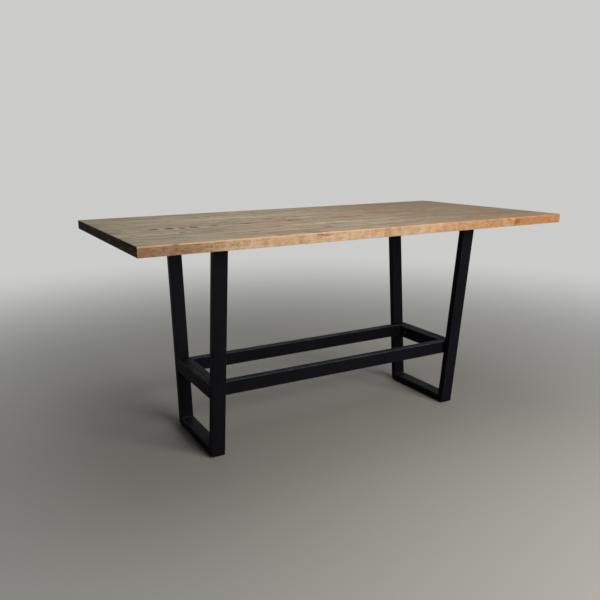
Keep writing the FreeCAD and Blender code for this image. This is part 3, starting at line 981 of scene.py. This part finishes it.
def foot_base_shell(x, y):
    """A round moulded base: a ribbed rim, whose radius dips by a raised cosine forty times round, a rounded
    shoulder and the seat of the stem's disc."""
    steps = 4 * BASE_RIBS
    ribbed = BASE_RADIUS - BASE_RIB_DEPTH * (0.5 - 0.5 * np.cos(BASE_RIBS * round_angles(steps)))
    top = BASE_HIGH.z
    seat = top - BASE_SEAT_DEPTH
    rows = [(0.0, 0.004), (0.0, BASE_RADIUS - 0.0012), (0.0002, BASE_RADIUS - 0.0004), (0.0006, ribbed),
            (top - 0.0026, ribbed), (top - 0.0021, BASE_RADIUS - 0.0001)]
    for bend in np.linspace(0.0, math.pi / 2, 6):
        rows.append((top - BASE_SHOULDER * (1.0 - math.sin(bend)),
                     BASE_RADIUS - BASE_SHOULDER * (1.0 - math.cos(bend))))
    rows += [(top, BASE_SEAT_RADIUS + 0.0006), (top - 0.0004, BASE_SEAT_RADIUS), (seat, BASE_SEAT_RADIUS),
             (seat, 0.002)]
    return turned_shell((x, y, 0.0), (0, 0, 1), rows, steps)


def foot_stem_rows(low, high):
    """Rows of a stem from its underside: the disc that turns in the base, the hexagon for a spanner and the
    threaded rod."""
    disc_top = BASE_HIGH.z - STEM_PLAY - low
    hex_top = BAR_UNDERSIDE - STEM_PLAY - low
    corner = hexagon(round_angles(), HEX_FLATS)
    rows = [(0.0, STEM_DISC_RADIUS - 0.0004), (0.0004, STEM_DISC_RADIUS),
            (disc_top - 0.0003, STEM_DISC_RADIUS), (disc_top, STEM_DISC_RADIUS - 0.0003), (disc_top, corner),
            (hex_top - 0.0004, corner), (hex_top, np.minimum(corner, HEX_FLATS * 0.52)),
            (hex_top, SCREW_RADIUS)]
    return rows + threaded_rows(hex_top + STEM_PLAY, high - low)


# Settings

def colour_setting(name, description, value):
    """A colour."""
    return bpy.props.FloatVectorProperty(name=name, description=description, subtype="COLOR", size=3, min=0.0,
                                         max=1.0, default=value)


def length_setting(name, description, value):
    """A small length."""
    return bpy.props.FloatProperty(name=name, description=description, unit="LENGTH", precision=5, min=0.0,
                                   max=0.1, default=value)


def factor_setting(name, description, value):
    """A share from 0 to 1."""
    return bpy.props.FloatProperty(name=name, description=description, subtype="FACTOR", min=0.0, max=1.0,
                                   default=value)


def power_setting(name, description, value):
    """The power of a lamp."""
    return bpy.props.FloatProperty(name=name, description=description, unit="POWER", min=0.0, default=value)


class OakLook(bpy.types.PropertyGroup):
    """Sizes and colours of the oak top."""

    arris: length_setting("Arris", "Radius of the eased corners", 0.002)
    arris_waver: factor_setting("Arris waver", "How unevenly the corners are eased", 0.12)
    glue_edge: length_setting("Glue edge", "Width of the fine edge at each glue line", 0.00012)
    waver: length_setting("Waver", "Depth of the slow waves that planing leaves", 0.00006)
    early_wood: colour_setting("Early wood", "Porous part of each ring", (0.325, 0.247, 0.152))
    late_wood: colour_setting("Late wood", "Dense part of each ring", (0.530, 0.440, 0.302))
    pale_streak: colour_setting("Pale streak", "Pale long streaks", (0.620, 0.530, 0.380))
    dark_streak: colour_setting("Dark streak", "Dark long streaks", (0.290, 0.222, 0.138))
    smudge: colour_setting("Smudges", "Grey smudges", (0.205, 0.165, 0.113))
    warm_patch: colour_setting("Warm patch", "Patches that took more oil", (0.520, 0.345, 0.200))
    # The two colours towards the ends of the top are partly painted shade.
    left_top_and_shade: colour_setting("Left part", "Wood towards the left end", (0.335, 0.300, 0.208))
    right_top_and_shade: colour_setting("Right part", "Wood towards the right end", (0.300, 0.212, 0.127))
    russet: colour_setting("Russet", "Reddish brown streaks, mostly to the right", (0.330, 0.190, 0.107))
    olive: colour_setting("Olive", "Grey brown streaks, mostly to the right", (0.235, 0.203, 0.145))
    right_strip: colour_setting("Right strip", "Top by the front edge, to the right", (0.400, 0.215, 0.105))
    # Painted warm light on the front edge.
    edge_painted_warm_light: colour_setting("Edge", "Front edge, which faced the weather", (0.580, 0.365, 0.210))
    edge_dark: colour_setting("Edge, dark", "Dark bands and flecks on the front edge", (0.290, 0.145, 0.068))
    # Also painted as the highlight along the front edge's upper arris.
    edge_pale_and_highlight: colour_setting("Edge, pale", "Pale bands and flecks on the front edge", (0.690, 0.495, 0.340))
    # Painted shade towards the front edge's left end.
    edge_painted_left_shade: colour_setting("Edge, left", "Front edge near its left end", (0.285, 0.165, 0.085))
    right_glow: colour_setting("Edge, right", "Front edge near its right end", (0.430, 0.195, 0.072))
    left_fleck: colour_setting("Left flecks", "Dark flecks of the edge, left", (0.115, 0.062, 0.032))
    right_fleck: colour_setting("Right flecks", "Dark flecks of the edge, right", (0.270, 0.115, 0.045))
    amber: colour_setting("Amber", "Resin spots on the front edge", (0.700, 0.300, 0.040))
    knot_red: colour_setting("Red spots", "Reddish spots and streaks", (0.265, 0.100, 0.036))
    knot_halo: colour_setting("Knot halo", "Wood round a knot", (0.340, 0.185, 0.095))
    knot_heart: colour_setting("Knot heart", "Dark rings and rim of a knot", (0.036, 0.017, 0.010))
    knot_ring: colour_setting("Knot rings", "Lighter rings of a knot", (0.165, 0.082, 0.040))
    pore: colour_setting("Pores", "Open pores and glue lines", (0.135, 0.085, 0.050))
    # The end grain's colours and soak are darker partly as painted shade.
    end_wood: colour_setting("End grain", "Wood at the ends of the boards", (0.165, 0.138, 0.118))
    end_dark: colour_setting("End grain, dark", "Late wood and soaked layers", (0.022, 0.018, 0.016))
    end_pale: colour_setting("End grain, pale", "Dry layers", (0.260, 0.225, 0.195))
    end_soak_and_shade: factor_setting("End soak", "How much darker the oil turns the end grain", 0.84)
    roughness: factor_setting("Roughness", "Roughness of the oiled wood", 0.62)


class SteelLook(bpy.types.PropertyGroup):
    """Sizes and colours of the steel, its fixings and the feet."""

    coat: colour_setting("Coat", "Black powder coat", (0.0054, 0.0056, 0.0078))
    coat_light: colour_setting("Coat, lighter", "Lighter patches of the coat", (0.0080, 0.0084, 0.0116))
    # Painted highlight along the tubes' long corners.
    coat_painted_highlight: colour_setting("Coat, rubbed", "Where the long corners are rubbed", (0.074, 0.096, 0.108))
    coat_roughness: factor_setting("Coat roughness", "Roughness of the satin coat", 0.40)
    dust: colour_setting("Dust", "Dust on faces that look up", (0.30, 0.29, 0.27))
    weld_size: length_setting("Weld size", "Leg length of the fillet welds", 0.0036)
    weld_ripple: factor_setting("Weld ripple", "Height of the ripples against the weld's size", 0.10)
    zinc: colour_setting("Zinc", "Zinc plate", (0.60, 0.61, 0.62))
    zinc_cloud: colour_setting("Zinc clouds", "Duller zinc", (0.42, 0.43, 0.45))
    zinc_cast: colour_setting("Zinc cast", "Yellow cast of the passivation", (0.62, 0.57, 0.44))
    brass: colour_setting("Brass", "Machined brass of the sleeves", (0.72, 0.50, 0.20))
    tarnish: colour_setting("Tarnish", "Tarnished brass", (0.42, 0.27, 0.10))
    oxide: colour_setting("Black oxide", "Oiled oxide of the foot rest's bolts", (0.022, 0.022, 0.024))
    oxide_dry: colour_setting("Dry oxide", "Oxide where the oil has gone", (0.045, 0.043, 0.042))
    oxide_rubbed: colour_setting("Rubbed oxide", "Bare steel where the key rubs", (0.22, 0.21, 0.20))
    plastic: colour_setting("Plastic", "Moulded foot bases", (0.020, 0.020, 0.021))
    plastic_worn: colour_setting("Worn plastic", "Scuffs near the floor", (0.085, 0.082, 0.078))


class StudioLook(bpy.types.PropertyGroup):
    """Light and background."""

    backdrop: colour_setting("Backdrop", "Colour behind the table", (0.60, 0.60, 0.59))
    floor: colour_setting("Floor", "Colour of the floor", (0.41, 0.405, 0.38))
    key_power: power_setting("Key", "Power of the key lamp", 160.0)
    room_power: power_setting("Room", "Power of the ceiling of light", 75.0)
    top_power: power_setting("Top", "Power of the lamp overhead", 17.0)
    sky_strength: factor_setting("Sky", "Strength of the light from all round", 0.14)
    sky_dark_side: factor_setting("Dark side", "How much weaker it is on the left than on the right", 0.95)


# Operators

class TABLE_OT_oak_boards(bpy.types.Operator):
    """Builds the oak boards of the top"""

    bl_idname = "table.oak_boards"
    bl_label = "Oak boards"

    def execute(self, context):
        look = context.scene.table_oak
        for board in range(1, BOARD_COUNT + 1):
            oak = OakFinish(board, look).material
            add_piece("oak_board_%d" % board, [board_shell(board, look)], oak,
                      replaces=["top_board_%d" % board], sharp=32.0)
        return {"FINISHED"}


class TABLE_OT_steel_frame(bpy.types.Operator):
    """Coats the leg frames and the foot rest, and adds their welds"""

    bl_idname = "table.steel_frame"
    bl_label = "Steel frame"

    def execute(self, context):
        look = context.scene.table_steel
        coat = coat_finish(look)
        weld = weld_finish(look)
        for side in ("left", "right"):
            for member in ("front_leg", "rear_leg", "floor_bar", "cross_rail", "top_plate"):
                dress("%s_%s" % (side, member), coat)
        for member in ("front_rail", "rear_rail", "left_end", "right_end"):
            dress("foot_rest_" + member, coat)
        add_piece("left_frame_welds", frame_welds(-1, look), weld, sharp=60.0)
        add_piece("right_frame_welds", frame_welds(1, look), weld, sharp=60.0)
        add_piece("foot_rest_welds", rest_welds(look), weld, sharp=60.0)
        return {"FINISHED"}


class TABLE_OT_top_fixings(bpy.types.Operator):
    """Builds the screws and washers under the top, and dresses the sleeves and the bushes"""

    bl_idname = "table.top_fixings"
    bl_label = "Fixings of the top"

    def execute(self, context):
        look = context.scene.table_steel
        zinc = zinc_finish(look)
        add_piece("hexagon_screws", top_screw_shells(), zinc, replaces=["top_screws"])
        height = PLATE_UNDERSIDE - SCREW_SEAT
        washers = [washer_shell((x, y, SCREW_SEAT), (0, 0, 1), height) for x, y in SCREW_POINTS]
        add_piece("flat_washers", washers, zinc, replaces=["top_washers"])
        dress("top_sleeves", brass_finish(look))
        dress("rest_sleeves", zinc)
        dress("foot_bushes", zinc)
        return {"FINISHED"}


class TABLE_OT_rest_bolts(bpy.types.Operator):
    """Builds the four button-head bolts of the foot rest"""

    bl_idname = "table.rest_bolts"
    bl_label = "Foot rest bolts"

    def execute(self, context):
        middle = (REST_LOW.z + REST_HIGH.z) / 2
        shells = []
        for side in (-1, 1):
            for end in (-1, 1):
                seat = (side * BOLT_SEAT_X, end * BOLT_HALF_PITCH, middle)
                shells.append(turned_shell(seat, (-side, 0, 0), rest_bolt_rows()))
        oxide = black_bolt_finish(context.scene.table_steel)
        add_piece("button_bolts", shells, oxide, replaces=["rest_bolts"])
        return {"FINISHED"}


class TABLE_OT_levelling_feet(bpy.types.Operator):
    """Builds the ribbed bases and the threaded stems of the four feet"""

    bl_idname = "table.levelling_feet"
    bl_label = "Levelling feet"

    def execute(self, context):
        look = context.scene.table_steel
        plastic = plastic_finish(look)
        zinc = zinc_finish(look)
        for name in FEET:
            low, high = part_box(name + "_foot_stem")
            x, y = (low.x + high.x) / 2, (low.y + high.y) / 2
            add_piece(name + "_base", [foot_base_shell(x, y)], plastic,
                      replaces=[name + "_foot_base"])
            stem = turned_shell((x, y, low.z), (0, 0, 1), foot_stem_rows(low.z, high.z))
            add_piece(name + "_stem", [stem], zinc, body=name + "_stem",
                      replaces=[name + "_foot_stem"])
        return {"FINISHED"}


class TABLE_OT_studio(bpy.types.Operator):
    """Lays the floor, hangs the lamps and sets the camera"""

    bl_idname = "table.studio"
    bl_label = "Studio"

    def execute(self, context):
        look = context.scene.table_studio
        add_floor(look)
        add_sky(look)
        add_lamp("key", (0.9, -4.0, 1.9), (0.1, -0.2, 0.75), (3.0, 1.6), look.key_power, (1.0, 0.95, 0.90))
        add_lamp("room", (1.4, 1.5, 5.0), (0.8, 1.0, 0.0), (8.0, 8.0), look.room_power, SKY_TONE)
        add_lamp("top", (0.0, 0.2, 3.3), (0.0, 0.1, 1.0), (2.2, 2.0), look.top_power, (1.0, 0.985, 0.95))
        add_camera()
        return {"FINISHED"}


def add_floor(look):
    """A round floor that turns into the backdrop's colour far from the table, where a seen ray meets it."""
    distance = np.array(FLOOR_RINGS)[:, None]
    angle = round_angles(FLOOR_STEPS)
    points = about((0, 0, 0), (0, 0, 1), angle, distance, 0.0).reshape(-1, 3)
    mesh = bpy.data.meshes.new("studio_floor")
    mesh.from_pydata(points.tolist(), [], grid_faces(len(FLOOR_RINGS), FLOOR_STEPS).tolist())
    make = Finish("studio_floor")
    make.set(Base_Color=look.floor, Roughness=0.9, Specular_IOR_Level=0.0)
    fade = make.times(make.ramp(make.length(make.place), FADE_START, FADE_END), make.seen_ray())
    glow = make.add("Emission", {"Color": look.backdrop})
    make.show(fade, make.surface.outputs[0], glow.outputs[0], "Material Output")
    mesh.materials.append(make.material)
    floor = bpy.data.objects.new("studio_floor", mesh)
    bpy.context.scene.collection.objects.link(floor)


def add_sky(look):
    """Soft light from all round, weaker from the left, seen as the backdrop's colour."""
    world = bpy.data.worlds.new("studio")
    world.use_nodes = True
    bpy.context.scene.world = world
    make = Nodes(world.node_tree)
    side = make.split(make.add("TexCoord").outputs["Generated"])[0]
    weakest = look.sky_strength * (1.0 - look.sky_dark_side)
    light = make.tree.nodes["Background"]
    make.feed(light.inputs["Color"], SKY_TONE)
    make.feed(light.inputs["Strength"], make.ramp(side, -0.9, 0.9, weakest, look.sky_strength, "LINEAR"))
    seen = make.add("Background", {"Color": look.backdrop})
    make.show(make.seen_ray(), light.outputs[0], seen.outputs[0], "World Output")


def add_lamp(name, place, target, size, power, tone):
    """A rectangular lamp at a place, turned to face the target."""
    lamp = bpy.data.lights.new(name, "AREA")
    lamp.shape = "RECTANGLE"
    lamp.size, lamp.size_y = size
    lamp.energy = power
    lamp.color = tone
    holder = bpy.data.objects.new(name, lamp)
    holder.location = place
    holder.rotation_euler = (Vector(target) - Vector(place)).to_track_quat("-Z", "Y").to_euler()
    bpy.context.scene.collection.objects.link(holder)


def add_camera():
    """The camera as fitted: turned by yaw, pitch and roll, its optical centre moved by the lens shift."""
    data = bpy.data.cameras.new("camera")
    data.sensor_width = SENSOR_WIDTH
    data.lens = FOCAL_PIXELS / IMAGE_SIZE * SENSOR_WIDTH
    data.shift_x = (IMAGE_SIZE / 2 - OPTICAL_CENTRE[0]) / IMAGE_SIZE
    data.shift_y = (OPTICAL_CENTRE[1] - IMAGE_SIZE / 2) / IMAGE_SIZE
    level_ahead = Vector((math.sin(CAMERA_YAW), math.cos(CAMERA_YAW), 0.0))
    forward = level_ahead * math.cos(CAMERA_PITCH) - Vector((0.0, 0.0, math.sin(CAMERA_PITCH)))
    level = Vector((math.cos(CAMERA_YAW), -math.sin(CAMERA_YAW), 0.0))
    upright = level.cross(forward)
    right = level * math.cos(CAMERA_ROLL) + upright * math.sin(CAMERA_ROLL)
    up = upright * math.cos(CAMERA_ROLL) - level * math.sin(CAMERA_ROLL)
    turn = Matrix((right, up, -forward)).transposed()
    camera = bpy.data.objects.new("camera", data)
    camera.matrix_world = Matrix.Translation(CAMERA_PLACE) @ turn.to_4x4()
    bpy.context.scene.collection.objects.link(camera)
    bpy.context.scene.camera = camera


class TABLE_PT_looks(bpy.types.Panel):
    """Lists the table's settings and the steps that build it"""

    bl_idname = "TABLE_PT_looks"
    bl_label = "Bar table"
    bl_space_type = "VIEW_3D"
    bl_region_type = "UI"
    bl_category = "Bar table"

    def draw(self, context):
        for step in STEPS:
            self.layout.operator(step.bl_idname)
        for settings in (context.scene.table_oak, context.scene.table_steel, context.scene.table_studio):
            box = self.layout.box()
            for name in settings.__annotations__:
                box.prop(settings, name)


STEPS = (TABLE_OT_oak_boards, TABLE_OT_steel_frame, TABLE_OT_top_fixings, TABLE_OT_rest_bolts,
         TABLE_OT_levelling_feet, TABLE_OT_studio)
CLASSES = (OakLook, SteelLook, StudioLook) + STEPS + (TABLE_PT_looks,)


def register():
    for each in CLASSES:
        bpy.utils.register_class(each)
    bpy.types.Scene.table_oak = bpy.props.PointerProperty(type=OakLook)
    bpy.types.Scene.table_steel = bpy.props.PointerProperty(type=SteelLook)
    bpy.types.Scene.table_studio = bpy.props.PointerProperty(type=StudioLook)


def unregister():
    del bpy.types.Scene.table_studio
    del bpy.types.Scene.table_steel
    del bpy.types.Scene.table_oak
    for each in reversed(CLASSES):
        bpy.utils.unregister_class(each)


def main():
    register()
    bpy.context.scene.view_settings.view_transform = "Standard"
    bpy.ops.table.oak_boards()
    bpy.ops.table.steel_frame()
    bpy.ops.table.top_fixings()
    bpy.ops.table.rest_bolts()
    bpy.ops.table.levelling_feet()
    bpy.ops.table.studio()


if __name__ == "__main__":
    main()
